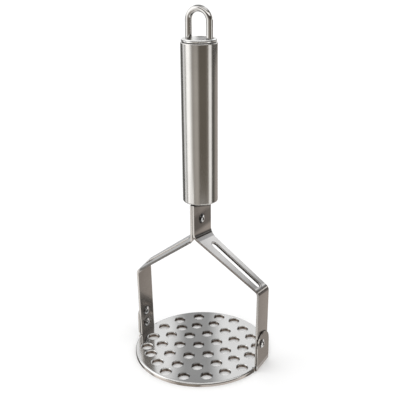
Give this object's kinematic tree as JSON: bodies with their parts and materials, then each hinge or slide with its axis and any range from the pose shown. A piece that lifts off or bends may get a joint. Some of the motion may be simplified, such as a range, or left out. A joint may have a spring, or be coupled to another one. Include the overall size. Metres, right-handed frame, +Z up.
{
  "type": "potato masher",
  "caption": "Upright potato masher with a tubular steel handle, hanging loop, two slotted strap arms and a round plate of flanged holes.",
  "frame": {"origin": "on the floor under the middle of the mash plate, on the handle's axis", "axes": "+Z up along the handle to the hanging loop; the two arms spread along X; the straps' width lies along Y"},
  "size_m": [0.1064, 0.1012, 0.2568],
  "materials": {
    "polished_wire": "mirror-polished round stainless wire",
    "cap_steel": "turned face with a polished bead",
    "handle_steel": "satin stainless tube with fine lengthwise brushing",
    "strap_steel": "satin stainless strip with lightly broken edges",
    "plate_steel": "bright satin stainless sheet",
    "rivet_steel": "polished domed rivet heads",
    "plain_pin": "plain steel pin, hidden in the handle",
    "plug_nylon": "dark moulded plug, hidden in the handle"
  },
  "bodies": {
    "root": {"hanging_loop": "polished_wire", "end_cap": "cap_steel", "handle_tube": "handle_steel", "upper_plug": "plug_nylon", "lower_plug": "plug_nylon", "tang_pin": "plain_pin", "left_arm": "strap_steel", "right_arm": "strap_steel", "mash_plate": "plate_steel", "neck_rivet": "rivet_steel", "left_lower_rivet": "rivet_steel", "left_upper_rivet": "rivet_steel", "right_rivet": "rivet_steel"}
  },
  "joints": []
}
